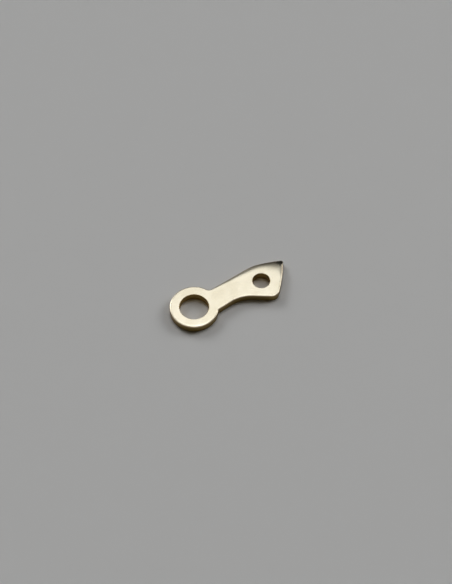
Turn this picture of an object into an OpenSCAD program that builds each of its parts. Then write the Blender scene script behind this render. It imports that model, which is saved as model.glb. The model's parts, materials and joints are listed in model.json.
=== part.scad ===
// Date jumper: the lever whose beak rests between two teeth of a date ring.
// It is one piece, blanked from flat hardened steel: an eye that turns on a post,
// a waisted arm, and a beaked head with a small hole for the end of its spring.
// Millimetres. The origin is on the eye's axis at the underside, +X runs through
// the small hole and the beak points to the +Y side.

/* [Sheet] */
// Thickness of the steel sheet
sheet_t = 0.28; // [0.22:0.01:0.4]
// Bevel round the underside, where the burr was taken off
burr_bevel = 0.02; // [0.01:0.005:0.04]
// Bevel at both ends of each hole
hole_bevel = 0.008; // [0.005:0.001:0.03]

/* [Eye] */
// Outside diameter of the eye
eye_d = 1.65; // [1.5:0.05:1.9]
// Diameter of the bore that turns on the post
pivot_d = 1; // [0.7:0.05:1.15]

/* [Arm] */
// Distance from the eye's bore to the small hole
hole_pitch = 2.5; // [2.3:0.05:3]
// Angle round the eye at which the arm leaves it on the beak side
high_root_angle = 35; // [30:1:42]
// Radius in the corner between the eye and the arm on the beak side
high_root_r = 0.17; // [0.1:0.01:0.25]
// Angle round the eye at which the arm leaves it on the heel side
low_root_angle = 35; // [30:1:42]
// Radius in the corner between the eye and the arm on the heel side
low_root_r = 0.1; // [0.06:0.01:0.2]
// Distance along the arm from the eye's axis to the middle of the waist
waist_x = 1.46; // [1.3:0.02:1.6]
// Distance from the centre line to the waist
waist_depth = 0.31; // [0.26:0.005:0.36]
// Radius of the waist's hollow
waist_r = 1.15; // [0.8:0.05:1.5]

/* [Head] */
// Diameter of the small hole
spring_hole_d = 0.6; // [0.4:0.01:0.64]
// Height of the brow above the small hole's centre
brow_height = 0.675; // [0.62:0.005:0.75]
// Radius of the brow
brow_r = 1.45; // [1.2:0.05:2]
// Distance along the arm from the small hole to the centre of the beak's nose
beak_x = 0.97; // [0.85:0.01:1.05]
// Height of the centre of the beak's nose above the centre line
beak_y = 0.46; // [0.4:0.005:0.5]
// Radius of the beak's nose
beak_r = 0.075; // [0.05:0.005:0.12]
// Radius of the shallow bow of the flank between the beak and the heel
flank_r = 7; // [2:0.5:12]
// Distance along the arm from the small hole to the centre of the heel
heel_x = 0.155; // [0.1:0.005:0.22]
// Distance from the centre line down to the centre of the heel
heel_y = 0.475; // [0.42:0.005:0.54]
// Radius of the heel
heel_r = 0.27; // [0.2:0.01:0.3]

/* [Rolled edge] */
// Depth of the rounding round the upper face where it is very narrow
roll_depth = 0.035; // [0.02:0.005:0.05]
// Width at which the rounding is twice as deep as that
roll_doubling_w = 0.36; // [0.3:0.01:0.5]
// Squareness of the rounding's curve: 2 is an ellipse, more starts flatter
roll_square = 2.5; // [2:0.1:3]
// Width of the rounding along the waist and round the heel
edge_roll_w = 0.05; // [0.03:0.005:0.08]
// Width of the rounding round the eye
eye_roll_w = 0.06; // [0.04:0.002:0.08]
// Shift of the eye's flat face along the arm, inside that rounding
eye_land_x = 0.016; // [0:0.002:0.03]
// Shift of the eye's flat face towards the beak's side
eye_land_y = 0.02; // [0:0.002:0.03]

/* [Crowned beak] */
// Drop from the top of the brow to the flat face
crown_w = 0.225; // [0.15:0.005:0.25]
// Width of the rounding where the flat face comes nearest to the flank
flank_roll_w = 0.035; // [0.02:0.005:0.07]
// Share of the way from the heel to the nose at which that corner of the face lies
low_land_share = 0.39; // [0.25:0.01:0.45]
// Radius of that corner
low_land_r = 0.2; // [0.15:0.01:0.25]
// Distance along the arm from the small hole to the face's corner under the brow
high_land_x = 0.09; // [0.05:0.01:0.12]
// Radius of that corner
high_land_r = 0.33; // [0.28:0.01:0.36]
// Distance back from the small hole to where the face follows the brow
brow_land_back = 0.45; // [0.4:0.01:0.6]
// Radius of the face's edge there
brow_land_r = 1; // [0.8:0.05:1.3]

/* [Hidden] */
$fn = 96;
overcut = 0.1;
roll_steps = 10;
spring_hole_at = [hole_pitch, 0];

// A point at a distance and an angle from the eye's axis
function polar(distance, angle) = distance * [cos(angle), sin(angle)];

function unit(v) = v / norm(v);

function mix(a, b, share) = a + (b - a) * share;

// Centres of the guide circles that the outline and the flat face share
low_root_centre = polar(eye_d / 2 + low_root_r, -low_root_angle);
high_root_centre = polar(eye_d / 2 + high_root_r, high_root_angle);
waist_centre = [waist_x, -waist_depth - waist_r];
heel_centre = [hole_pitch + heel_x, -heel_y];
beak_nose = [hole_pitch + beak_x, beak_y];

// Centre of the circle of radius r that holds two smaller circles and touches both,
// on the left of the way from a to b
function bow_centre(a, a_r, b, b_r, r) =
    let (
        span = norm(b - a),
        along = unit(b - a),
        left = [-along[1], along[0]],
        foot = (pow(r - a_r, 2) - pow(r - b_r, 2) + span * span) / (2 * span),
        rise = sqrt(pow(r - a_r, 2) - foot * foot)
    )
    a + along * foot + left * rise;

// The guide circles of the outline, anticlockwise from the eye. Each is [centre, signed
// radius, steps along its arc, steps along the straight run that follows]. The radius is
// negative where the edge is hollow. A circle with no run touches the next one.
blank_guides = [
    [[0, 0], eye_d / 2, 84, 0],
    [low_root_centre, -low_root_r, 9, 4],
    [waist_centre, -waist_r, 14, 6],
    [heel_centre, heel_r, 16, 0],
    [bow_centre(heel_centre, heel_r, beak_nose, beak_r, flank_r), flank_r, 14, 0],
    [beak_nose, beak_r, 16, 8],
    [[hole_pitch, brow_height - brow_r], brow_r, 14, 12],
    [high_root_centre, -high_root_r, 11, 0]
];

// The flat face is set in by the rounding's width along the arm and the heel, and turns
// off before the beak, which is crowned all over
eye_land_centre = [eye_land_x, eye_land_y];
eye_land_r = eye_d / 2 - eye_roll_w;
land_top = brow_height - crown_w;

// Centre of the face's corner by the flank
function low_land_centre() =
    let (
        way = beak_nose - heel_centre,
        left = unit([-way[1], way[0]]),
        edge = mix(heel_r, beak_r, low_land_share)
    )
    mix(heel_centre, beak_nose, low_land_share) + left * (low_land_r + flank_roll_w - edge);

// The guide circles of the flat face, in the same order, with the beak's left out. Each
// is [centre, signed radius, whether it touches the next one].
land_guides = [
    [eye_land_centre, eye_land_r, true],
    [low_root_centre, eye_land_r - norm(low_root_centre - eye_land_centre), false],
    [waist_centre, -waist_r - edge_roll_w, false],
    [heel_centre, heel_r - edge_roll_w, false],
    [low_land_centre(), low_land_r, false],
    [[hole_pitch + high_land_x, land_top - high_land_r], high_land_r, false],
    [[hole_pitch - brow_land_back, land_top - brow_land_r], brow_land_r, false],
    [high_root_centre, eye_land_r - norm(high_root_centre - eye_land_centre), true]
];

// Heading of the straight run that is tangent to a guide circle and the next one
function run_heading(a, b) =
    let (
        way = b[0] - a[0],
        swing = (b[1] - a[1]) / norm(way)
    )
    atan2(way[1], way[0]) - asin(max(-1, min(1, swing)));

// Turn from one heading to another, to the left on a bulge and to the right in a hollow
function arc_turn(from, to, radius) =
    let (side = sign(radius), slack = 30)
    side * ((side * (to - from) + slack + 720) % 360 - slack);

// The heading on arriving at guide circle i of a chain, the turn along its arc, and the
// heading on leaving it
function passage(chain, i) =
    let (
        count = len(chain),
        here = chain[i],
        from = run_heading(chain[(i + count - 1) % count], here),
        to = run_heading(here, chain[(i + 1) % count])
    )
    [from, arc_turn(from, to, here[1]), to];

// The point of a guide circle at which the edge has a heading
function touch(guide, heading) = guide[0] + guide[1] * [sin(heading), -cos(heading)];

// Points along one guide circle's arc and the run after it, each as [place, heading]
function stretch(i) =
    let (
        here = blank_guides[i],
        way = passage(blank_guides, i),
        steps = here[2],
        runs = here[3],
        leave = touch(here, way[2]),
        arrive = touch(blank_guides[(i + 1) % len(blank_guides)], way[2])
    )
    concat(
        [for (k = [0:steps - (runs > 0 ? 0 : 1)])
            let (heading = way[0] + way[1] * k / steps)
            [touch(here, heading), heading]],
        runs > 0 ? [for (k = [1:runs - 1]) [mix(leave, arrive, k / runs), way[2]]] : []
    );

outline = [for (i = [0:len(blank_guides) - 1]) each stretch(i)];

land_ways = [for (i = [0:len(land_guides) - 1]) passage(land_guides, i)];

// The nearest place to p on the arc of a guide circle of the flat face
function nearest_on_arc(i, p) =
    let (
        here = land_guides[i],
        way = land_ways[i],
        side = sign(here[1]),
        away = p - here[0],
        slack = 180 - abs(way[1]) / 2,
        heading = atan2(side * away[0], -side * away[1]),
        turned = (side * (heading - way[0]) + slack + 720) % 360 - slack
    )
    touch(here, way[0] + side * max(0, min(abs(way[1]), turned)));

// The nearest place to p on the straight run that follows a guide circle
function nearest_on_run(i, p) =
    let (
        heading = land_ways[i][2],
        start = touch(land_guides[i], heading),
        end = touch(land_guides[(i + 1) % len(land_guides)], heading),
        along = max(0, min(norm(end - start), (p - start) * [cos(heading), sin(heading)]))
    )
    start + along * [cos(heading), sin(heading)];

// The place on the flat face's edge that is nearest to p
function nearest_on_land(p) =
    let (
        offers = [for (i = [0:len(land_guides) - 1]) each concat(
            [nearest_on_arc(i, p)],
            land_guides[i][2] ? [] : [nearest_on_run(i, p)]
        )],
        gaps = [for (offer = offers) norm(offer - p)]
    )
    offers[search(min(gaps), gaps)[0]];

// The way from the flat face to each point of the outline, as [start, way]
rounding = [for (p = outline) let (start = nearest_on_land(p[0])) [start, p[0] - start]];

// One ring of points round the blank. The rounding is a quarter of a superellipse:
// angle 0 is its foot on the wall, and 90 its end on the flat face.
function rolled_ring(angle) =
    let (
        outward = pow(cos(angle), 2 / roll_square),
        upward = pow(sin(angle), 2 / roll_square)
    )
    [for (r = rounding)
        let (
            depth = roll_depth * (1 + pow(norm(r[1]) / roll_doubling_w, 2)),
            place = r[0] + r[1] * outward
        )
        [place[0], place[1], sheet_t - depth * (1 - upward)]];

// A ring at one height, set in from the outline by the same distance all round
function level_ring(inset, z) = [for (p = outline)
    [p[0][0] - inset * sin(p[1]), p[0][1] + inset * cos(p[1]), z]];

// Whether the lacing from one side of a ring to the other goes on along side a next: it
// takes the shorter of the two ways across, until one side is used up
function next_on_a(ring, a, b, i, j) =
    j == len(b) - 1 || (i < len(a) - 1
        && norm(ring[a[i + 1]] - ring[b[j]]) < norm(ring[a[i]] - ring[b[j + 1]]));

// Triangles that close a ring, laced across the lever between the points on the heel's
// side and those on the beak's side
function lacing(ring) =
    let (
        count = len(ring),
        reaches = [for (p = ring) p[0]],
        far = search(min(reaches), reaches)[0],
        tip = search(max(reaches), reaches)[0],
        a = [for (i = [far:tip]) i],
        b = [for (i = [far + count - 1:-1:tip + 1]) i % count]
    )
    [for (
        i = 0, j = 0, on_a = next_on_a(ring, a, b, 0, 0);
        i + j < count - 2;
        i = on_a ? i + 1 : i, j = on_a ? j : j + 1, on_a = next_on_a(ring, a, b, i, j)
    ) [a[i], b[j], on_a ? a[i + 1] : b[j + 1]]];

// Closed skin over a stack of rings, from the floor up
module skin(rings) {
    count = len(rings[0]);
    top = len(rings) - 1;
    sides = [for (k = [0:top - 1], i = [0:count - 1])
        let (j = (i + 1) % count, low = k * count, high = low + count)
        each [[low + i, high + i, high + j], [low + i, high + j, low + j]]];
    polyhedron(
        points = [for (ring = rings) each ring],
        faces = concat(
            sides,
            [for (t = lacing(rings[0])) [t[0], t[2], t[1]]],
            [for (t = lacing(rings[top])) t + top * count * [1, 1, 1]]
        ),
        convexity = 6
    );
}

// The blank before its holes: the outline, bevelled below and rounded above
module blank() {
    skin(concat(
        [level_ring(burr_bevel, 0), level_ring(0, burr_bevel)],
        [for (k = [0:roll_steps]) rolled_ring(90 * k / roll_steps)]
    ));
}

// Cutter for a hole with a bevel at each end
module bevelled_hole(d) {
    reach = hole_bevel + overcut;
    rotate_extrude()
        polygon([
            [0, -overcut],
            [d / 2 + reach, -overcut],
            [d / 2, hole_bevel],
            [d / 2, sheet_t - hole_bevel],
            [d / 2 + reach, sheet_t + overcut],
            [0, sheet_t + overcut]
        ]);
}

module jumper_lever() {
    color([0.86, 0.83, 0.74])
    difference() {
        blank();
        bevelled_hole(pivot_d);
        translate(spring_hole_at) bevelled_hole(spring_hole_d);
    }
}

jumper_lever();
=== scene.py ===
"""Looks of a date jumper: one small lever blanked from hardened steel sheet.

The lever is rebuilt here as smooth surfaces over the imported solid, with the same
outline, holes and rolled edge, and dressed with three steel finishes: the satin
face, the sheared wall round the outline and the walls of the two holes.
Lengths in the classes are millimetres. Blender's own units are metres.
"""

import json
import logging
import math
from dataclasses import dataclass, field
from enum import Enum, IntEnum
from typing import Any, ClassVar

import bpy
import numpy as np
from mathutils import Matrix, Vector


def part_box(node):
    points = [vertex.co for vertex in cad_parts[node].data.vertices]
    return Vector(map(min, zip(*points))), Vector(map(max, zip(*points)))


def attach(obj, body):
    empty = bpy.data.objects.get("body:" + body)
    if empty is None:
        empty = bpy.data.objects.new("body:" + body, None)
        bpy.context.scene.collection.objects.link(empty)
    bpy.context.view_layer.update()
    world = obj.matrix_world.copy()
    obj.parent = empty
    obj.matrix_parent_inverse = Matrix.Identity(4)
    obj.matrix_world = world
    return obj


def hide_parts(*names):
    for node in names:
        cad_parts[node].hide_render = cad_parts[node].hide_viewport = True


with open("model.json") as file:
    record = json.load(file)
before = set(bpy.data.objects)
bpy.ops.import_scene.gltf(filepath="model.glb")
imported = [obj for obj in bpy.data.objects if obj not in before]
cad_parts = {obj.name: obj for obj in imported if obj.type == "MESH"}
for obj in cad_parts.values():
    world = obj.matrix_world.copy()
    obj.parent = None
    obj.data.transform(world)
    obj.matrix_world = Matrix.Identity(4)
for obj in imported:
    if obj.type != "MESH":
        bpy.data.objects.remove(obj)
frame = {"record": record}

log = logging.getLogger("date_jumper")
Socket = bpy.types.NodeSocket
Tree = bpy.types.NodeTree
Inputs = tuple[dict[str, Any], dict[str, Socket]]
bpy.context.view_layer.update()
MM = 0.001
NODE = "jumper_lever"
BODY = "root"
WELD_STEPS_PER_MM = 1e6
SHORTEST_MM = 1e-9
SMOOTH_STEP = {"interpolation_type": "SMOOTHSTEP"}


def linear(hex_colour: str) -> tuple[float, float, float, float]:
    """Turns an sRGB hex colour into the linear RGBA that Blender works in.

    Args:
        hex_colour: Six hex digits after a hash sign.

    Returns:
        Linear red, green and blue with an alpha of 1.
    """
    values = [int(hex_colour[i:i + 2], 16) / 255 for i in (1, 3, 5)]
    lin = [v / 12.92 if v <= 0.04045 else ((v + 0.055) / 1.055) ** 2.4 for v in values]
    return (lin[0], lin[1], lin[2], 1.0)


def per_metre(feature_mm: float) -> float:
    """Gives the texture scale at which one cell is a feature of that many millimetres."""
    return 1.0 / (feature_mm * MM)


def add_node(
    tree: Tree, kind: str, settings: dict[str, Any] | None = None,
    values: dict[str | int, Any] | None = None, links: dict[str | int, Socket] | None = None,
) -> bpy.types.Node:
    """Adds one node to a tree.

    Args:
        tree: The node tree of a material or the world.
        kind: Blender's name for the kind of node, after the word ShaderNode.
        settings: Properties of the node itself.
        values: Constants for its input sockets, by name or place.
        links: Output sockets to lead into its input sockets, by name or place.

    Returns:
        The new node.
    """
    node = tree.nodes.new("ShaderNode" + kind)
    for name, value in (settings or {}).items():
        setattr(node, name, value)
    for name, value in (values or {}).items():
        node.inputs[name].default_value = value
    for name, socket in (links or {}).items():
        tree.links.new(socket, node.inputs[name])
    return node


@dataclass(frozen=True)
class Finish:
    """A real material with the way its surface was made.

    Attributes:
        name: The material's name.
    """

    name: ClassVar[str]

    def surface(self, tree: Tree) -> Inputs:
        """Adds the finish's own nodes.

        Args:
            tree: The material's node tree.

        Returns:
            The shader's constants, and the output sockets that lead into it.
        """
        raise NotImplementedError

    @staticmethod
    def streaks(
        tree: Tree, where: Socket, scale: tuple[float, float], noise: dict[str, float],
        angle: float = 0.0,
    ) -> Socket:
        """Adds a noise that is drawn out along one way, such as scratches.

        Args:
            tree: The material's node tree.
            where: The coordinates that the pattern follows.
            scale: Cells to a unit of those coordinates, along and across.
            noise: The noise's detail and roughness.
            angle: How far the coordinates are turned first, in degrees.

        Returns:
            The noise, from 0 to 1.
        """
        drawn = add_node(
            tree, "Mapping", None,
            {"Rotation": (0.0, 0.0, math.radians(angle)), "Scale": (*scale, 0.0)},
            {"Vector": where},
        ).outputs["Vector"]
        values = {"Scale": 1.0, **noise}
        return add_node(tree, "TexNoise", None, values, {"Vector": drawn}).outputs["Fac"]

    def material(self) -> bpy.types.Material:
        """Builds the material: the finish's own nodes, one shader and the output.

        Returns:
            The new material.
        """
        mat = bpy.data.materials.new(self.name)
        mat.use_nodes = True
        tree = mat.node_tree
        tree.nodes.clear()
        values, links = self.surface(tree)
        shader = add_node(tree, "BsdfPrincipled", None, values, links).outputs["BSDF"]
        add_node(tree, "OutputMaterial", None, None, {"Surface": shader})
        return mat


class Zone(Enum):
    """The three finishes of the lever, numbered as its material slots."""

    FACE = 0
    WALL = 1
    BORE = 2


class Guide(IntEnum):
    """The guide circles of the outline, by their place in its chain."""

    EYE = 0
    LOW_ROOT = 1
    WAIST = 2
    HEEL = 3
    FLANK = 4
    BEAK = 5
    BROW = 6
    HIGH_ROOT = 7


@dataclass(frozen=True)
class GuideCircle:
    """A circle that the outline follows for a stretch.

    Attributes:
        x: Centre along the arm, in mm.
        y: Centre across the arm, in mm.
        radius: Positive where the outline bulges, negative where it is hollow, in mm.
    """

    x: float
    y: float
    radius: float


@dataclass(frozen=True)
class PathPoints:
    """Places along a chain of guide circles, as arrays of one length.

    Attributes:
        place: Points in the sheet's plane, in mm.
        square: Unit vectors square to the edge, pointing into the sheet.
        length: Distance along the chain, in mm.
    """

    place: np.ndarray
    square: np.ndarray
    length: np.ndarray


@dataclass
class TangentChain:
    """A closed line that follows guide circles in turn, with tangent runs between them.

    Its parts are the first circle's arc, the run that leaves it, the second circle's
    arc, and so on. The run between two circles that touch has no length.

    Attributes:
        circles: The guide circles, anticlockwise round the lever.
        touching: For each circle, whether it touches the next one.
        centres: The circles' centres, in mm.
        radii: The circles' signed radii, in mm.
        enter: The heading at the start of each arc, in radians.
        turn: The angle that the line turns through on each arc, in radians.
        run: The length of the run after each arc, in mm.
        starts: The distance at which each part starts, and the whole length, in mm.
    """

    circles: list[GuideCircle]
    touching: np.ndarray
    centres: np.ndarray = field(init=False)
    radii: np.ndarray = field(init=False)
    enter: np.ndarray = field(init=False)
    turn: np.ndarray = field(init=False)
    run: np.ndarray = field(init=False)
    starts: np.ndarray = field(init=False)

    def __post_init__(self) -> None:
        """Works out the heading of each run, each arc's turn and all the lengths.

        A run's heading is that of the line between two centres, less the angle whose
        sine is the difference of the radii over the distance between the centres.
        """
        self.centres = np.array([[c.x, c.y] for c in self.circles])
        self.radii = np.array([c.radius for c in self.circles])
        way = np.roll(self.centres, -1, axis=0) - self.centres
        span = np.hypot(way[:, 0], way[:, 1])
        swing = np.clip((np.roll(self.radii, -1) - self.radii) / span, -1.0, 1.0)
        leave = np.arctan2(way[:, 1], way[:, 0]) - np.arcsin(swing)
        self.enter = np.roll(leave, 1)
        side = np.sign(self.radii)
        slack = math.radians(30)
        turn = np.mod(side * (leave - self.enter) + slack, 2 * math.pi) - slack
        self.turn = side * turn
        self.run = np.where(self.touching, 0.0, span * np.sqrt(1.0 - swing ** 2))
        lengths = np.stack([np.abs(self.radii) * turn, self.run], axis=1).ravel()
        self.starts = np.concatenate([[0.0], np.cumsum(lengths)])

    @property
    def total(self) -> float:
        """The whole length, in mm."""
        return float(self.starts[-1])

    def part_at(self, past: np.ndarray) -> np.ndarray:
        """Numbers the part that each distance falls on: even for an arc, odd for a run."""
        part = np.searchsorted(self.starts, past, side="right") - 1
        return np.clip(part, 0, len(self.starts) - 2)

    def along(self, circle: Guide, share: float, run: bool = False) -> float:
        """Gives the distance at a share of a circle's arc, or of the run that leaves it."""
        start, end = self.starts[2 * circle + run:2 * circle + run + 2]
        return float(start + share * (end - start))

    def at(self, length: np.ndarray) -> PathPoints:
        """Gives the points at distances along the line.

        On an arc the point is the centre less the signed radius times the inward
        square of the heading. On a run it is the arc's end plus the run's share of
        its length along the heading.

        Args:
            length: Distances, in mm, which may run on past the line's end.

        Returns:
            The points, one for each distance.
        """
        past = np.mod(length, self.total)
        part = self.part_at(past)
        size = np.maximum(self.starts[part + 1] - self.starts[part], SHORTEST_MM)
        share = (past - self.starts[part]) / size
        circle = part // 2
        on_arc = part % 2 == 0
        heading = self.enter[circle] + self.turn[circle] * np.where(on_arc, share, 1.0)
        ahead = np.stack([np.cos(heading), np.sin(heading)], axis=1)
        square = np.stack([-ahead[:, 1], ahead[:, 0]], axis=1)
        place = self.centres[circle] - self.radii[circle][:, None] * square
        covered = np.where(on_arc, 0.0, share) * self.run[circle]
        return PathPoints(place + ahead * covered[:, None], square, length)

    def nearest(self, points: np.ndarray) -> np.ndarray:
        """Finds the place on the line that is nearest to each point.

        Each arc offers the place on the way from its centre to the point, held between
        the arc's two ends. Each run offers the point's shadow on it, held between the
        run's two ends. The nearest of all the offers is taken.

        Args:
            points: Points in the sheet's plane, in mm.

        Returns:
            One place on the line for each point.
        """
        side = np.sign(self.radii)
        away = points[:, None, :] - self.centres[None]
        heading = np.arctan2(side * away[..., 0], -side * away[..., 1])
        whole = np.abs(self.turn)
        slack = math.pi - whole / 2
        turned = np.mod(side * (heading - self.enter) + slack, 2 * math.pi) - slack
        heading = self.enter + side * np.clip(turned, 0.0, whole)
        outward = np.stack([np.sin(heading), -np.cos(heading)], axis=-1)
        on_arc = self.centres + self.radii[:, None] * outward
        leave = self.enter + self.turn
        ahead = np.stack([np.cos(leave), np.sin(leave)], axis=-1)
        last_outward = np.stack([np.sin(leave), -np.cos(leave)], axis=-1)
        start = self.centres + self.radii[:, None] * last_outward
        along = np.clip(np.sum((points[:, None, :] - start) * ahead, axis=-1), 0.0, self.run)
        on_run = start + ahead * along[..., None]
        offers = np.concatenate([on_arc, on_run], axis=1)
        best = np.argmin(np.linalg.norm(offers - points[:, None, :], axis=-1), axis=1)
        return offers[np.arange(len(points)), best]

    def even_steps(self, first: float, last: float, count: int) -> np.ndarray:
        """Spreads distances so that steps are short where the line turns sharply.

        Steps are equal in distance plus a share of the angle turned, so a corner of a
        tenth of a millimetre gets as many as its turn needs.

        Args:
            first: Distance at which to start, in mm.
            last: Distance at which to end, past the start's own lap if need be, in mm.
            count: Number of steps.

        Returns:
            count + 1 distances from first to last.
        """
        corner_weight = 0.35
        samples = 8001
        fine = np.linspace(first, last, samples)
        part = self.part_at(np.mod(fine, self.total))
        bend = np.where(part % 2 == 0, 1.0 / np.abs(self.radii[part // 2]), 0.0)
        pace = 1.0 + corner_weight * bend
        covered = np.concatenate([[0.0], np.cumsum((pace[1:] + pace[:-1]) / 2)])
        return np.interp(np.linspace(0.0, covered[-1], count + 1), covered, fine)


@dataclass
class LeverPlan:
    """The sizes of the blanked outline and of the flat land inside its rolled edge, in mm.

    The land keeps a set width inside the outline along the arm and the heel. At the head
    it turns off before the beak: the crown is all that lies outside the straight run
    between the land's low corner, by the flank, and its high corner, under the brow.
    """

    pitch: float
    eye_r: float = 0.825
    high_root_angle: float = 35.0
    high_root_r: float = 0.17
    low_root_angle: float = 35.0
    low_root_r: float = 0.10
    waist_x: float = 1.46
    waist_depth: float = 0.31
    waist_r: float = 1.15
    brow_height: float = 0.675
    brow_r: float = 1.45
    beak_x: float = 0.97
    beak_y: float = 0.46
    beak_r: float = 0.075
    flank_r: float = 7.0
    heel_x: float = 0.155
    heel_y: float = 0.475
    heel_r: float = 0.27
    edge_roll: float = 0.05
    eye_roll: float = 0.06
    eye_shift: tuple[float, float] = (0.016, 0.020)
    flank_roll: float = 0.035
    low_share: float = 0.39
    low_r: float = 0.20
    crown: float = 0.225
    high_x: float = 0.09
    high_r: float = 0.33
    brow_back: float = 0.45
    brow_land_r: float = 1.0

    @staticmethod
    def bow(a: GuideCircle, b: GuideCircle, radius: float) -> GuideCircle:
        """Finds the large circle that holds two small ones and touches both.

        Its centre is the corner of a triangle whose sides are the large radius less
        each small one, standing on the line between the two small centres.

        Args:
            a: The small circle that comes first.
            b: The small circle that comes next.
            radius: The large radius, in mm.

        Returns:
            The large circle, on the left of the way from a to b.
        """
        way = np.array([b.x - a.x, b.y - a.y])
        span = float(np.hypot(*way))
        along = way / span
        left = np.array([-along[1], along[0]])
        foot = ((radius - a.radius) ** 2 - (radius - b.radius) ** 2 + span ** 2) / (2 * span)
        rise = math.sqrt((radius - a.radius) ** 2 - foot ** 2)
        centre = np.array([a.x, a.y]) + along * foot + left * rise
        return GuideCircle(float(centre[0]), float(centre[1]), radius)

    def by_hole(self, x: float, y: float, radius: float) -> GuideCircle:
        """Gives a circle whose place is measured from the small hole."""
        return GuideCircle(self.pitch + x, y, radius)

    def root(self, radius: float, angle: float, eye: GuideCircle) -> GuideCircle:
        """Gives the hollow circle in a corner of the arm, touching the eye's circle.

        Args:
            radius: Radius of the corner in the outline, in mm.
            angle: Angle round the eye's axis, in degrees.
            eye: The circle of the eye, of the outline or of the land.

        Returns:
            The corner's circle.
        """
        reach = self.eye_r + radius
        x, y = reach * math.cos(math.radians(angle)), reach * math.sin(math.radians(angle))
        return GuideCircle(x, y, eye.radius - math.hypot(x - eye.x, y - eye.y))

    def waist(self, inside: float) -> GuideCircle:
        """Gives the hollow circle of the waist, the given distance inside the outline."""
        return GuideCircle(self.waist_x, -self.waist_depth - self.waist_r, -self.waist_r - inside)

    def outline(self) -> TangentChain:
        """Gives the outline of the blank.

        Returns:
            The chain of its eight guide circles, in the order of Guide.
        """
        eye = GuideCircle(0.0, 0.0, self.eye_r)
        heel = self.by_hole(self.heel_x, -self.heel_y, self.heel_r)
        nose = self.by_hole(self.beak_x, self.beak_y, self.beak_r)
        circles = [
            eye,
            self.root(self.low_root_r, -self.low_root_angle, eye),
            self.waist(0.0),
            heel,
            self.bow(heel, nose, self.flank_r),
            nose,
            self.by_hole(0.0, self.brow_height - self.brow_r, self.brow_r),
            self.root(self.high_root_r, self.high_root_angle, eye),
        ]
        touching = [True, False, False, True, True, False, False, True]
        return TangentChain(circles, np.array(touching))

    def low_corner(self, heel: GuideCircle, nose: GuideCircle) -> GuideCircle:
        """Gives the land's corner by the flank.

        It lies at a share of the way from the heel to the nose, the flank's roll inside
        the line that is tangent to both.

        Args:
            heel: The heel's circle in the outline.
            nose: The nose's circle in the outline.

        Returns:
            The corner's circle.
        """
        way = np.array([nose.x - heel.x, nose.y - heel.y])
        left = np.array([-way[1], way[0]]) / np.hypot(*way)
        line = heel.radius + self.low_share * (nose.radius - heel.radius)
        place = np.array([heel.x, heel.y]) + self.low_share * way
        place = place + (self.low_r + self.flank_roll - line) * left
        return GuideCircle(float(place[0]), float(place[1]), self.low_r)

    def land(self) -> TangentChain:
        """Gives the outline of the flat land inside the rolled edge.

        Returns:
            The chain of its eight guide circles.
        """
        eye = GuideCircle(*self.eye_shift, self.eye_r - self.eye_roll)
        heel = self.by_hole(self.heel_x, -self.heel_y, self.heel_r)
        nose = self.by_hole(self.beak_x, self.beak_y, self.beak_r)
        top = self.brow_height - self.crown
        circles = [
            eye,
            self.root(self.low_root_r, -self.low_root_angle, eye),
            self.waist(self.edge_roll),
            self.by_hole(self.heel_x, -self.heel_y, self.heel_r - self.edge_roll),
            self.low_corner(heel, nose),
            self.by_hole(self.high_x, top - self.high_r, self.high_r),
            self.by_hole(-self.brow_back, top - self.brow_land_r, self.brow_land_r),
            self.root(self.high_root_r, self.high_root_angle, eye),
        ]
        touching = [True, False, False, False, False, False, False, True]
        return TangentChain(circles, np.array(touching))


@dataclass
class Patch:
    """A grid of points with what its faces and materials need.

    Attributes:
        points: Places of shape rows, columns, 3, in mm.
        surface: Distances along and across the surface for the UV map, in mm.
        edge: How far each place is down the rolled edge, 0 on the flat and 1 at the wall.
        zone: The finish.
        flip: True where the grid's rows and columns run clockwise seen from outside.
    """

    points: np.ndarray
    surface: np.ndarray
    edge: np.ndarray
    zone: Zone
    flip: bool = False


def weld(patches: list[Patch], name: str) -> bpy.types.Object:
    """Joins grids into one closed mesh whose shared edges are welded.

    Args:
        patches: The grids. Neighbours share their border points exactly.
        name: The name of the new object.

    Returns:
        The object, linked to the scene, with a UV map in mm and its edge attribute.
    """
    places, surfaces, edges, quads, zones = [], [], [], [], []
    offset = 0
    for patch in patches:
        rows, columns = patch.points.shape[:2]
        index = np.arange(rows * columns).reshape(rows, columns) + offset
        corners = [index[:-1, :-1], index[:-1, 1:], index[1:, 1:], index[1:, :-1]]
        if patch.flip:
            corners = corners[::-1]
        quads.append(np.stack(corners, axis=-1).reshape(-1, 4))
        zones.append(np.full(len(quads[-1]), patch.zone.value))
        places.append(patch.points.reshape(-1, 3))
        surfaces.append(patch.surface.reshape(-1, 2))
        edges.append(patch.edge.ravel())
        offset += rows * columns
    place = np.concatenate(places)
    keys = np.round(place * WELD_STEPS_PER_MM).astype(np.int64)
    _, first, same = np.unique(keys, axis=0, return_index=True, return_inverse=True)
    same = same.ravel()
    quad = np.concatenate(quads)
    welded = same[quad]
    mesh = bpy.data.meshes.new(name)
    mesh.vertices.add(len(first))
    mesh.vertices.foreach_set("co", (place[first] * MM).astype(np.float32).ravel())
    mesh.loops.add(welded.size)
    mesh.loops.foreach_set("vertex_index", welded.ravel().astype(np.int32))
    mesh.polygons.add(len(welded))
    mesh.polygons.foreach_set("loop_start", np.arange(0, welded.size, 4, dtype=np.int32))
    mesh.polygons.foreach_set("material_index", np.concatenate(zones).astype(np.int32))
    mesh.polygons.foreach_set("use_smooth", np.ones(len(welded), dtype=bool))
    mesh.update(calc_edges=True)
    uv = mesh.uv_layers.new(name="surface_mm")
    uv.data.foreach_set("uv", np.concatenate(surfaces)[quad].astype(np.float32).ravel())
    marks = mesh.attributes.new("edge", "FLOAT", "POINT")
    marks.data.foreach_set("value", np.concatenate(edges)[first].astype(np.float32))
    mesh.validate()
    piece = bpy.data.objects.new(name, mesh)
    bpy.context.scene.collection.objects.link(piece)
    return piece


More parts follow.
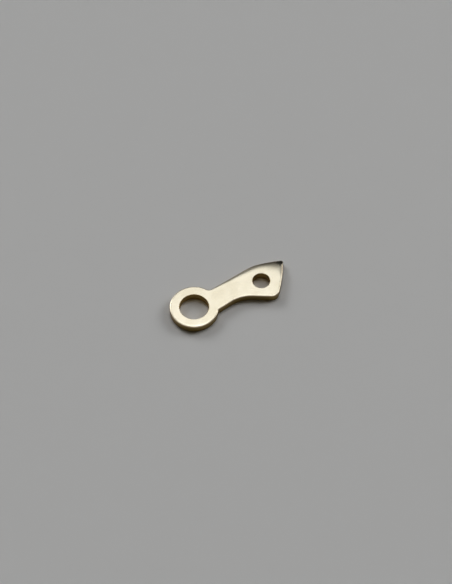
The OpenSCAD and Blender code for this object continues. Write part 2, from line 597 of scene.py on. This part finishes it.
@dataclass(frozen=True)
class SatinFace(Finish):
    """Hardened carbon steel, lapped and tumbled to a warm satin.

    The eye sees an even sheen with no mirror image, broken by soft clouds, fine grain
    and a few hairlines. Down the rolled edge it is painted darker and browner, as painted
    shade. The nose has been burnished by the teeth that it holds, so it is smooth, and
    its colour there is painted darker, a painted reflection of the dark.
    Real grain and lapping lines are a few microns wide. They are drawn at 18 and 12
    microns, so that they show.
    """

    name: ClassVar[str] = "tumbled_spring_steel_face"
    body: str = "#E4DDC8"
    cloud: str = "#DAD2BB"
    # Painted reflection: the burnished nose is smooth, and its colour is painted darker for the
    # dark it reflects.
    burnished: str = "#B4AE9E"
    # Painted shade: the darker, browner tone that the face takes down the rolled edge.
    painted_edge_shade: str = "#8A6A3F"
    roughness: float = 0.30
    roughness_spread: float = 0.04
    burnished_roughness: float = 0.20
    edge_shade_band: tuple[float, float] = (0.0, 0.8)
    cloud_mm: float = 0.45
    cloud_band: tuple[float, float] = (0.35, 0.65)
    grain_mm: float = 0.018
    grain_band: tuple[float, float] = (0.3, 0.7)
    lap_spacing_mm: float = 0.012
    lap_length_mm: float = 0.6
    lap_angle: float = 24.0
    grain_height_mm: float = 0.00014
    lap_height_mm: float = 0.00022

    def surface(self, tree: Tree) -> Inputs:
        """Adds the clouds, the grain, the lapping lines and the burnished nose.

        Args:
            tree: The material's node tree.

        Returns:
            The shader's inputs.
        """
        where = add_node(tree, "TexCoord").outputs["Object"]
        # The nose's share: it lowers the roughness, and paints the colour darker as a painted
        # reflection.
        polish_and_shade = add_node(tree, "Attribute", {"attribute_name": "polish_and_shade"}).outputs["Fac"]
        clouds = add_node(
            tree, "TexNoise", None,
            {"Scale": per_metre(self.cloud_mm), "Detail": 3.0, "Roughness": 0.55},
            {"Vector": where},
        ).outputs["Fac"]
        grain = add_node(
            tree, "TexNoise", None,
            {"Scale": per_metre(self.grain_mm), "Detail": 2.0, "Roughness": 0.6},
            {"Vector": where},
        ).outputs["Fac"]
        laps = self.streaks(
            tree, where, (per_metre(self.lap_length_mm), per_metre(self.lap_spacing_mm)),
            {"Detail": 2.0, "Roughness": 0.7}, self.lap_angle,
        )
        cloud_share = add_node(
            tree, "MapRange", None,
            {"From Min": self.cloud_band[0], "From Max": self.cloud_band[1]}, {"Value": clouds},
        ).outputs["Result"]
        colour = add_node(
            tree, "Mix", {"data_type": "RGBA"},
            {6: linear(self.body), 7: linear(self.cloud)}, {0: cloud_share},
        ).outputs[2]
        edge = add_node(tree, "Attribute", {"attribute_name": "edge"}).outputs["Fac"]
        # Painted shade: how far down the rolled edge the face is mixed towards the darker tone.
        edge_shade_share = add_node(
            tree, "MapRange", SMOOTH_STEP,
            {"From Min": self.edge_shade_band[0], "From Max": self.edge_shade_band[1]}, {"Value": edge},
        ).outputs["Result"]
        # Mixes in the painted edge shade, then the nose's darker colour, a painted reflection.
        for painted_tone, share in ((self.painted_edge_shade, edge_shade_share), (self.burnished, polish_and_shade)):
            colour = add_node(
                tree, "Mix", {"data_type": "RGBA"}, {7: linear(painted_tone)}, {0: share, 6: colour},
            ).outputs[2]
        rough = add_node(
            tree, "MapRange", None,
            {
                "From Min": self.grain_band[0],
                "From Max": self.grain_band[1],
                "To Min": self.roughness - self.roughness_spread,
                "To Max": self.roughness + self.roughness_spread,
            },
            {"Value": grain},
        ).outputs["Result"]
        smoothed = add_node(
            tree, "Mix", {"data_type": "FLOAT"}, {3: self.burnished_roughness},
            {0: polish_and_shade, 2: rough},
        ).outputs[0]
        lap_bump = add_node(
            tree, "Bump", None, {"Distance": self.lap_height_mm * MM}, {"Height": laps},
        ).outputs["Normal"]
        bump = add_node(
            tree, "Bump", None, {"Distance": self.grain_height_mm * MM},
            {"Height": grain, "Normal": lap_bump},
        ).outputs["Normal"]
        return {"Metallic": 1.0}, {"Base Color": colour, "Roughness": smoothed, "Normal": bump}


@dataclass(frozen=True)
class ShearedWall(Finish):
    """The wall that the blanking punch sheared: burnished above, torn and dull below.

    The eye sees fine upright drag lines, a smoother band under the rounded edge and a
    darker, rougher band where the metal broke away. Both bands also carry painted shade:
    their colours are far darker and browner than the face's. The drag lines are drawn
    10 microns wide, coarser than real ones, so that they show.
    """

    name: ClassVar[str] = "sheared_spring_steel_wall"
    # Partly painted shade: both wall colours are far darker and browner than the face's, partly
    # the sheared steel's own duller bands.
    burnished: str = "#957F4C"
    torn: str = "#7B6739"
    burnished_roughness: float = 0.30
    torn_roughness: float = 0.52
    drag_width_mm: float = 0.010
    drag_length_mm: float = 0.35
    break_height_mm: float = 0.13
    break_blend_mm: float = 0.02
    break_waver_mm: float = 0.03
    waver_length_mm: float = 0.09
    pit_mm: float = 0.014
    drag_height_mm: float = 0.0010
    pit_height_mm: float = 0.0016

    def surface(self, tree: Tree) -> Inputs:
        """Adds the drag lines and the wavering line below which the metal is torn.

        Args:
            tree: The material's node tree.

        Returns:
            The shader's inputs.
        """
        where = add_node(tree, "TexCoord").outputs["Object"]
        surface = add_node(tree, "UVMap", {"uv_map": "surface_mm"}).outputs["UV"]
        drags = self.streaks(
            tree, surface, (1.0 / self.drag_width_mm, 1.0 / self.drag_length_mm),
            {"Detail": 2.0, "Roughness": 0.6},
        )
        pits = add_node(
            tree, "TexNoise", None,
            {"Scale": per_metre(self.pit_mm), "Detail": 3.0, "Roughness": 0.65},
            {"Vector": where},
        ).outputs["Fac"]
        waver = self.streaks(
            tree, surface, (1.0 / self.waver_length_mm, 0.0), {"Detail": 3.0, "Roughness": 0.6},
        )
        height = add_node(tree, "SeparateXYZ", None, None, {"Vector": surface}).outputs["Y"]
        wavered = add_node(
            tree, "Math", {"operation": "MULTIPLY_ADD"},
            {1: 2.0 * self.break_waver_mm}, {0: waver, 2: height},
        ).outputs["Value"]
        middle = self.break_height_mm + self.break_waver_mm
        torn_share = add_node(
            tree, "MapRange", SMOOTH_STEP,
            {"From Min": middle + self.break_blend_mm, "From Max": middle - self.break_blend_mm},
            {"Value": wavered},
        ).outputs["Result"]
        # Mixes the two wall colours, both of which carry painted shade.
        colour = add_node(
            tree, "Mix", {"data_type": "RGBA"},
            {6: linear(self.burnished), 7: linear(self.torn)}, {0: torn_share},
        ).outputs[2]
        rough = add_node(
            tree, "MapRange", None,
            {"To Min": self.burnished_roughness, "To Max": self.torn_roughness},
            {"Value": torn_share},
        ).outputs["Result"]
        drag_bump = add_node(
            tree, "Bump", None, {"Distance": self.drag_height_mm * MM}, {"Height": drags},
        ).outputs["Normal"]
        bump = add_node(
            tree, "Bump", None, {"Distance": self.pit_height_mm * MM},
            {"Height": pits, "Normal": drag_bump, "Strength": torn_share},
        ).outputs["Normal"]
        return {"Metallic": 1.0}, {"Base Color": colour, "Roughness": rough, "Normal": bump}


@dataclass(frozen=True)
class PiercedBore(Finish):
    """The wall of a pierced and reamed hole in the same steel.

    The eye sees an even, slightly dull tone with fine lines round the hole. The tone,
    far darker and browner than the face's, is partly painted shade. The lines are
    drawn 9 microns wide, coarser than a reamer's, so that they show.
    """

    name: ClassVar[str] = "reamed_spring_steel_bore"
    # Partly painted shade: a brown far darker than the face's, partly the reamed wall's own
    # duller tone.
    body: str = "#AE935A"
    roughness: float = 0.36
    roughness_spread: float = 0.05
    line_mm: float = 0.009
    line_length_mm: float = 0.5
    line_height_mm: float = 0.0006

    def surface(self, tree: Tree) -> Inputs:
        """Adds the lines round the hole.

        Args:
            tree: The material's node tree.

        Returns:
            The shader's inputs.
        """
        surface = add_node(tree, "UVMap", {"uv_map": "surface_mm"}).outputs["UV"]
        lines = self.streaks(
            tree, surface, (1.0 / self.line_length_mm, 1.0 / self.line_mm),
            {"Detail": 2.0, "Roughness": 0.6},
        )
        bump = add_node(
            tree, "Bump", None, {"Distance": self.line_height_mm * MM}, {"Height": lines},
        ).outputs["Normal"]
        rough = add_node(
            tree, "MapRange", None,
            {
                "To Min": self.roughness - self.roughness_spread,
                "To Max": self.roughness + self.roughness_spread,
            },
            {"Value": lines},
        ).outputs["Result"]
        values = {"Metallic": 1.0, "Base Color": linear(self.body)}
        return values, {"Roughness": rough, "Normal": bump}


@dataclass(frozen=True)
class MattPaper(Finish):
    """Uncoated white paper for the floor.

    The eye sees no gloss, and soft shadows, because a little light goes through it.
    """

    name: ClassVar[str] = "matt_paper_floor"
    tone: str = "#DCDCDB"
    roughness: float = 0.9
    specular: float = 0.2
    depth_mm: float = 0.18

    def surface(self, tree: Tree) -> Inputs:
        """Gives the shader's constants, with no nodes of its own."""
        return {
            "Base Color": linear(self.tone),
            "Roughness": self.roughness,
            "Specular IOR Level": self.specular,
            "Subsurface Weight": 1.0,
            "Subsurface Radius": (1.0, 1.0, 1.0),
            "Subsurface Scale": self.depth_mm * MM,
        }, {}


@dataclass
class JumperLever:
    """The whole lever: outline, rolled edge, two holes and its finishes, in mm.

    Each split of the outline lies at a share of a circle's arc, or at the waist and the
    brow, of the run that leaves it.
    """

    sheet: float
    pivot_r: float
    spring_r: float
    plan: LeverPlan
    hole_bevel: float = 0.008
    roll_depth: float = 0.035
    roll_crown: float = 0.36
    roll_square: float = 2.5
    polish_and_shade_reach: tuple[float, float] = (0.02, 0.26)
    burr_round: float = 0.018
    break_height: float = 0.12
    break_taper: float = 0.006
    root_split: float = 0.5
    waist_split: float = 0.44
    flank_split: float = 0.42
    brow_split: float = 0.24
    head_steps: int = 150
    arm_steps: int = 90
    eye_steps: int = 130
    flat_steps: int = 16
    roll_steps: int = 16
    wall_steps: int = 5
    round_steps: int = 5
    finishes: tuple[Finish, ...] = (SatinFace(), ShearedWall(), PiercedBore())

    def lap(self, outline: TangentChain) -> tuple[np.ndarray, np.ndarray]:
        """Spreads points over six stretches of the outline, three on each side of the arm.

        Each stretch has a set number of steps, so that the two sides meet point for
        point along the centre line.

        Args:
            outline: The outline of the blank.

        Returns:
            Distances for the lower side, from the far side of the eye to the flank, and
            for the upper side, from the flank back to the far side of the eye.
        """
        heading_at_far = math.radians(270.0)
        to_far = (heading_at_far - float(outline.enter[Guide.EYE])) % (2 * math.pi)
        far = self.plan.eye_r * to_far
        low_root = outline.along(Guide.LOW_ROOT, self.root_split)
        low_head = outline.along(Guide.WAIST, self.waist_split, run=True)
        flank = outline.along(Guide.FLANK, self.flank_split)
        high_head = outline.along(Guide.BROW, self.brow_split, run=True)
        high_root = outline.along(Guide.HIGH_ROOT, self.root_split)
        lower = np.concatenate([
            outline.even_steps(far, low_root, self.eye_steps)[:-1],
            outline.even_steps(low_root, low_head, self.arm_steps)[:-1],
            outline.even_steps(low_head, flank, self.head_steps),
        ])
        upper = np.concatenate([
            outline.even_steps(flank, high_head, self.head_steps)[:-1],
            outline.even_steps(high_head, high_root, self.arm_steps)[:-1],
            outline.even_steps(high_root, far + outline.total, self.eye_steps),
        ])
        return lower, upper

    def holes(self) -> list[tuple[float, float, int]]:
        """Gives each hole's axis along the arm, its radius and the steps of half its round."""
        return [
            (0.0, self.pivot_r, self.eye_steps),
            (self.plan.pitch, self.spring_r, self.head_steps),
        ]

    def centre_path(self, side: float) -> np.ndarray:
        """Gives the inner border of a flat half: half of each hole and the web between.

        Args:
            side: 1 for the beak's side of the arm and -1 for the heel's side.

        Returns:
            Points from the eye's far side to the small hole's, in mm.
        """
        halves = []
        for centre_x, radius, steps in self.holes():
            turn = np.linspace(math.pi, 0.0, steps + 1)
            lip = radius + self.hole_bevel
            half = np.stack([centre_x + lip * np.cos(turn), side * lip * np.sin(turn)], axis=1)
            half[0, 1] = half[-1, 1] = 0.0
            halves.append(half)
        eye, hole = halves
        web = np.linspace(eye[-1], hole[0], self.arm_steps + 1)
        return np.concatenate([eye[:-1], web[:-1], hole])

    def flat_half(self, border: np.ndarray, side: float, z: float) -> Patch:
        """Rules a flat half between the centre path and the border, row by row.

        A row's share of the way is the mean of a squared sine and its smooth step, so
        the rows close up towards both borders.

        Args:
            border: The outer border, running the same way as the centre path, in mm.
            side: 1 for the beak's side of the arm and -1 for the heel's side.
            z: Height of the face, in mm.

        Returns:
            The flat half.
        """
        inner = self.centre_path(side)
        even = np.linspace(0.0, 1.0, self.flat_steps + 1)
        sine = np.sin(even * math.pi / 2) ** 2
        across = (0.5 * sine + 0.5 * sine ** 2 * (3.0 - 2.0 * sine))[:, None, None]
        plan = inner[None] * (1.0 - across) + border[None] * across
        points = np.concatenate([plan, np.full(plan.shape[:2] + (1,), z)], axis=2)
        edge = np.zeros(plan.shape[:2])
        return Patch(points, plan, edge, Zone.FACE, flip=(side > 0) == (z > 0))

    def rim(self, edge: PathPoints, land: np.ndarray) -> tuple[Patch, Patch]:
        """Carries the edge's profile along the outline.

        The upper part is a quarter of a superellipse from the land's edge to the wall: a
        little squarer than an ellipse, so it starts flatter and ends steeper. Its depth
        is the least depth times one plus the square of its width over a set width. The
        lower part drops straight to where the metal broke, leans in, and rounds under.

        Args:
            edge: Places round the outline, the first repeated at the end.
            land: The nearest places on the flat land's outline, in mm.

        Returns:
            The rolled part with the face's finish, and the wall with its own.
        """
        reach = edge.place - land
        width = np.linalg.norm(reach, axis=1)[None, :]
        depth = self.roll_depth * (1.0 + (width / self.roll_crown) ** 2)
        angle = np.linspace(math.pi / 2, 0.0, self.roll_steps + 1)[:, None]
        out = np.clip(np.cos(angle), 0.0, 1.0) ** (2.0 / self.roll_square)
        up = np.sin(angle) ** (2.0 / self.roll_square)
        plan = land[None] + reach[None] * out[..., None]
        z = self.sheet - depth * (1.0 - up)
        roll = np.concatenate([plan, z[..., None]], axis=2)
        along = np.broadcast_to(edge.length, z.shape)
        rolled_down = np.broadcast_to(1.0 - up, z.shape)
        rolled = Patch(roll, np.stack([along, z], axis=2), rolled_down, Zone.FACE)

        top = z[-1]
        down = np.linspace(0.0, 1.0, self.wall_steps + 1)[:, None]
        under = np.linspace(0.0, math.pi / 2, self.round_steps + 1)[1:, None]
        low_z = np.concatenate([
            self.break_height * (1.0 - down[1:]) + self.burr_round * down[1:],
            self.burr_round * (1.0 - np.sin(under)),
        ])
        wall_z = np.concatenate([
            top[None] * (1.0 - down) + self.break_height * down,
            np.broadcast_to(low_z, (len(low_z), len(top))),
        ])
        wall_in = np.concatenate([
            np.zeros_like(down),
            self.break_taper * down[1:],
            self.break_taper + self.burr_round * (1.0 - np.cos(under)),
        ])
        plan = edge.place[None] + edge.square[None] * wall_in[..., None]
        wall = np.concatenate([plan, wall_z[..., None]], axis=2)
        along = np.broadcast_to(edge.length, wall_z.shape)
        surface = np.stack([along, wall_z], axis=2)
        return rolled, Patch(wall, surface, np.ones_like(wall_z), Zone.WALL)

    def hole(self, centre_x: float, radius: float, steps: int) -> Patch:
        """Turns a hole's profile about its axis: a rounded lip, the wall, a rounded lip.

        Args:
            centre_x: Place of the axis along the arm, in mm.
            radius: Radius of the wall, in mm.
            steps: Steps of half the way round.

        Returns:
            The hole's wall.
        """
        half = np.linspace(math.pi, 0.0, steps + 1)
        angles = np.concatenate([half, -half[::-1][1:]])
        bend = np.linspace(0.0, math.pi / 2, self.round_steps + 1)
        lip_r = radius + self.hole_bevel * (1.0 - np.sin(bend))
        lip_z = self.sheet - self.hole_bevel * (1.0 - np.cos(bend))
        wall_steps = 2 * self.wall_steps
        wall_z = np.linspace(self.sheet - self.hole_bevel, self.hole_bevel, wall_steps + 1)
        profile_r = np.concatenate([lip_r, np.full(len(wall_z) - 2, radius), lip_r[::-1]])
        profile_z = np.concatenate([lip_z, wall_z[1:-1], self.sheet - lip_z[::-1]])
        r = profile_r[:, None]
        points = np.stack([
            centre_x + r * np.cos(angles)[None],
            r * np.sin(angles)[None],
            np.broadcast_to(profile_z[:, None], (len(profile_z), len(angles))),
        ], axis=2)
        around = np.broadcast_to(radius * angles, points.shape[:2])
        surface = np.stack([around, points[..., 2]], axis=2)
        return Patch(points, surface, np.zeros_like(around), Zone.BORE, flip=True)

    def build(self) -> bpy.types.Object:
        """Builds the lever's one closed mesh from its patches.

        Returns:
            The lever.
        """
        outline = self.plan.outline()
        lower, upper = self.lap(outline)
        edge = outline.at(np.concatenate([lower[:-1], upper]))
        edge.place[-1], edge.square[-1] = edge.place[0], edge.square[0]
        rolled, walled = self.rim(edge, self.plan.land().nearest(edge.place))
        patches = [rolled, walled]
        split = len(lower) - 1
        for border, z in ((rolled.points[0], self.sheet), (walled.points[-1], 0.0)):
            patches.append(self.flat_half(border[:split + 1, :2], -1.0, z))
            patches.append(self.flat_half(border[split:, :2][::-1], 1.0, z))
        patches += [self.hole(*hole) for hole in self.holes()]
        lever = weld(patches, "lever")
        self.mark_polish_and_shade(lever)
        log.info("lever: %d points, %d faces", len(lever.data.vertices), len(lever.data.polygons))
        return lever

    def mark_polish_and_shade(self, lever: bpy.types.Object) -> None:
        """Marks how far each point of the nose has been burnished, 1 at the tip.

        It is a smooth step of the distance from the tip, in the sheet's plane. The same share
        paints the nose darker, as a painted reflection of the dark.

        Args:
            lever: The lever's object.
        """
        mesh = lever.data
        place = np.empty(3 * len(mesh.vertices), dtype=np.float32)
        mesh.vertices.foreach_get("co", place)
        tip = np.array([self.plan.pitch + self.plan.beak_x, self.plan.beak_y])
        away = np.linalg.norm(place.reshape(-1, 3)[:, :2] / MM - tip, axis=1)
        near, far = self.polish_and_shade_reach
        share = np.clip((far - away) / (far - near), 0.0, 1.0)
        polish_and_shade = mesh.attributes.new("polish_and_shade", "FLOAT", "POINT")
        polish_and_shade.data.foreach_set("value", (share * share * (3.0 - 2.0 * share)).astype(np.float32))

    def dress(self, lever: bpy.types.Object) -> None:
        """Gives the lever its three finishes, which stand in the order of the zones."""
        for finish in self.finishes:
            lever.data.materials.append(finish.material())


@dataclass(frozen=True)
class Glow:
    """A soft round patch of light in the sky, in degrees, with its azimuth from the back.

    Its level rises as a smooth step from its rim, at its reach, to its middle.
    """

    azimuth: float
    elevation: float
    reach: float
    level: float


@dataclass
class Studio:
    """Plain pale floor, the soft light and the camera, placed about the lever.

    Angles are in degrees, and lengths in mm. The photo's scale is what its pixels span.
    """

    azimuth: float = -25.16
    elevation: float = 56.0
    photo_scale: float = 0.03373
    photo_size: tuple[int, int] = (452, 584)
    bore_pixel: tuple[float, float] = (194.25, 306.75)
    lens: float = 180.0
    sensor: float = 36.0
    clip: tuple[float, float] = (1.0, 20000.0)
    face_height: float = 0.28
    glows: tuple[Glow, ...] = (
        Glow(azimuth=2.8, elevation=68.8, reach=18.0, level=3.40),
        Glow(azimuth=-40.0, elevation=31.5, reach=19.0, level=5.90),
        Glow(azimuth=60.0, elevation=32.0, reach=21.5, level=4.60),
    )
    room: float = 0.01
    side_card: Glow = Glow(azimuth=-82.0, elevation=24.0, reach=46.0, level=0.60)
    backdrop_level: float = 0.60
    backdrop_fade: tuple[float, float] = (0.15, -0.45)
    horizon_level: float = 0.40
    floor_size: float = 4000.0
    paper: Finish = MattPaper()

    def directions(self) -> tuple[Vector, Vector, Vector]:
        """Gives the camera's ways to the right, forward along the floor, and back.

        Returns:
            Three unit vectors.
        """
        a, e = math.radians(self.azimuth), math.radians(self.elevation)
        right = Vector((math.cos(a), math.sin(a), 0.0))
        forward = Vector((-math.sin(a), math.cos(a), 0.0))
        back = Vector((math.sin(a) * math.cos(e), -math.cos(a) * math.cos(e), math.sin(e)))
        return right, forward, back

    def add_camera(self) -> None:
        """Places the camera so that the bore's centre lands on its pixel at the photo's scale.

        Its distance is what makes the photo's height span that many pixels of the scale.
        """
        right, forward, back = self.directions()
        width, height = self.photo_size
        dx = (width / 2 - self.bore_pixel[0]) * self.photo_scale
        dy = (self.bore_pixel[1] - height / 2) * self.photo_scale
        aim = right * dx + forward * (dy / math.sin(math.radians(self.elevation)))
        aim.z = self.face_height
        distance = self.lens * height * self.photo_scale / self.sensor
        data = bpy.data.cameras.new("camera")
        data.lens = self.lens
        data.sensor_width = self.sensor
        data.clip_start, data.clip_end = self.clip[0] * MM, self.clip[1] * MM
        camera = bpy.data.objects.new("camera", data)
        camera.location = (aim + back * distance) * MM
        camera.rotation_mode = "QUATERNION"
        camera.rotation_quaternion = (-back).to_track_quat("-Z", "Y")
        bpy.context.scene.collection.objects.link(camera)
        bpy.context.scene.camera = camera

    def glow_strength(self, tree: Tree, way: Socket, glow: Glow) -> Socket:
        """Works out one glow's part of the sky, with no edge that would show in the metal.

        Its strength is its level times a smooth step of the cosine between the direction
        and its middle.

        Args:
            tree: The world's node tree.
            way: The direction looked in.
            glow: The glow.

        Returns:
            The strength.
        """
        right, forward, _ = self.directions()
        around, height = math.radians(glow.azimuth), math.radians(glow.elevation)
        middle = (right * math.sin(around) + forward * math.cos(around)) * math.cos(height)
        middle.z = math.sin(height)
        cosine = add_node(
            tree, "VectorMath", {"operation": "DOT_PRODUCT"}, {1: middle}, {0: way},
        ).outputs["Value"]
        return add_node(
            tree, "MapRange", SMOOTH_STEP,
            {"From Min": math.cos(math.radians(glow.reach)), "To Max": glow.level},
            {"Value": cosine},
        ).outputs["Result"]

    def light(self) -> None:
        """Makes the soft light: three round glows in a dim room.

        One is high behind the lever, and its mirror image brightens the flat face. The
        others stand lower, to the left and right, and light its edges. The sky's
        strength is the room's level plus the glows. The metal also shows a pale card on
        the left and a pale backdrop on the camera's side, which fades out as a smooth
        step of the direction's reach forward. They give the floor no light. Past the
        floor's rim the camera sees a wall of about the floor's own tone.
        """
        world = bpy.data.worlds.new("soft_room")
        world.use_nodes = True
        tree = world.node_tree
        tree.nodes.clear()
        _, forward, _ = self.directions()
        way = add_node(tree, "TexCoord").outputs["Generated"]
        total = add_node(tree, "Value").outputs["Value"]
        total.default_value = self.room
        for glow in self.glows:
            total = add_node(
                tree, "Math", {"operation": "ADD"}, None,
                {0: total, 1: self.glow_strength(tree, way, glow)},
            ).outputs["Value"]
        behind = add_node(
            tree, "VectorMath", {"operation": "DOT_PRODUCT"}, {1: forward}, {0: way},
        ).outputs["Value"]
        fade_from, fade_to = self.backdrop_fade
        backdrop = add_node(
            tree, "MapRange", SMOOTH_STEP,
            {"From Min": fade_from, "From Max": fade_to, "To Max": self.backdrop_level},
            {"Value": behind},
        ).outputs["Result"]
        reflected = add_node(
            tree, "Math", {"operation": "ADD"}, None,
            {0: backdrop, 1: self.glow_strength(tree, way, self.side_card)},
        ).outputs["Value"]
        path = add_node(tree, "LightPath")
        total = add_node(
            tree, "Math", {"operation": "MULTIPLY_ADD"}, None,
            {0: reflected, 1: path.outputs["Is Glossy Ray"], 2: total},
        ).outputs["Value"]
        total = add_node(
            tree, "Math", {"operation": "MULTIPLY_ADD"}, {1: self.horizon_level},
            {0: path.outputs["Is Camera Ray"], 2: total},
        ).outputs["Value"]
        sky = add_node(
            tree, "Background", None, {"Color": linear("#FFFFFF")}, {"Strength": total},
        ).outputs["Background"]
        add_node(tree, "OutputWorld", None, None, {"Surface": sky})
        bpy.context.scene.world = world

    def add_floor(self) -> None:
        """Lays the plain floor under the lever."""
        half = self.floor_size * MM / 2
        mesh = bpy.data.meshes.new("floor")
        mesh.from_pydata(
            [(-half, -half, 0.0), (half, -half, 0.0), (half, half, 0.0), (-half, half, 0.0)],
            [], [(0, 1, 2, 3)],
        )
        mesh.materials.append(self.paper.material())
        floor = bpy.data.objects.new("floor", mesh)
        bpy.context.scene.collection.objects.link(floor)


def mount(name: str) -> dict[str, Any]:
    """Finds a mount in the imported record."""
    return next(m for m in frame["record"]["mounts"] if m["name"] == name)


def main() -> None:
    """Builds the lever and its studio."""
    logging.basicConfig(level=logging.INFO, format="%(name)s: %(message)s")
    low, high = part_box(NODE)
    pitch = mount("spring_hole")["pos_m"][0] / MM
    lever_maker = JumperLever(
        sheet=(high[2] - low[2]) / MM,
        pivot_r=mount("pivot_bore")["dims"]["r_mm"],
        spring_r=mount("spring_hole")["dims"]["r_mm"],
        plan=LeverPlan(pitch),
    )
    lever = lever_maker.build()
    lever_maker.dress(lever)
    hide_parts(NODE)
    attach(lever, BODY)
    studio = Studio()
    studio.add_camera()
    studio.light()
    studio.add_floor()
    scene = bpy.context.scene
    scene.view_settings.view_transform = "Standard"


if __name__ == "__main__":
    main()
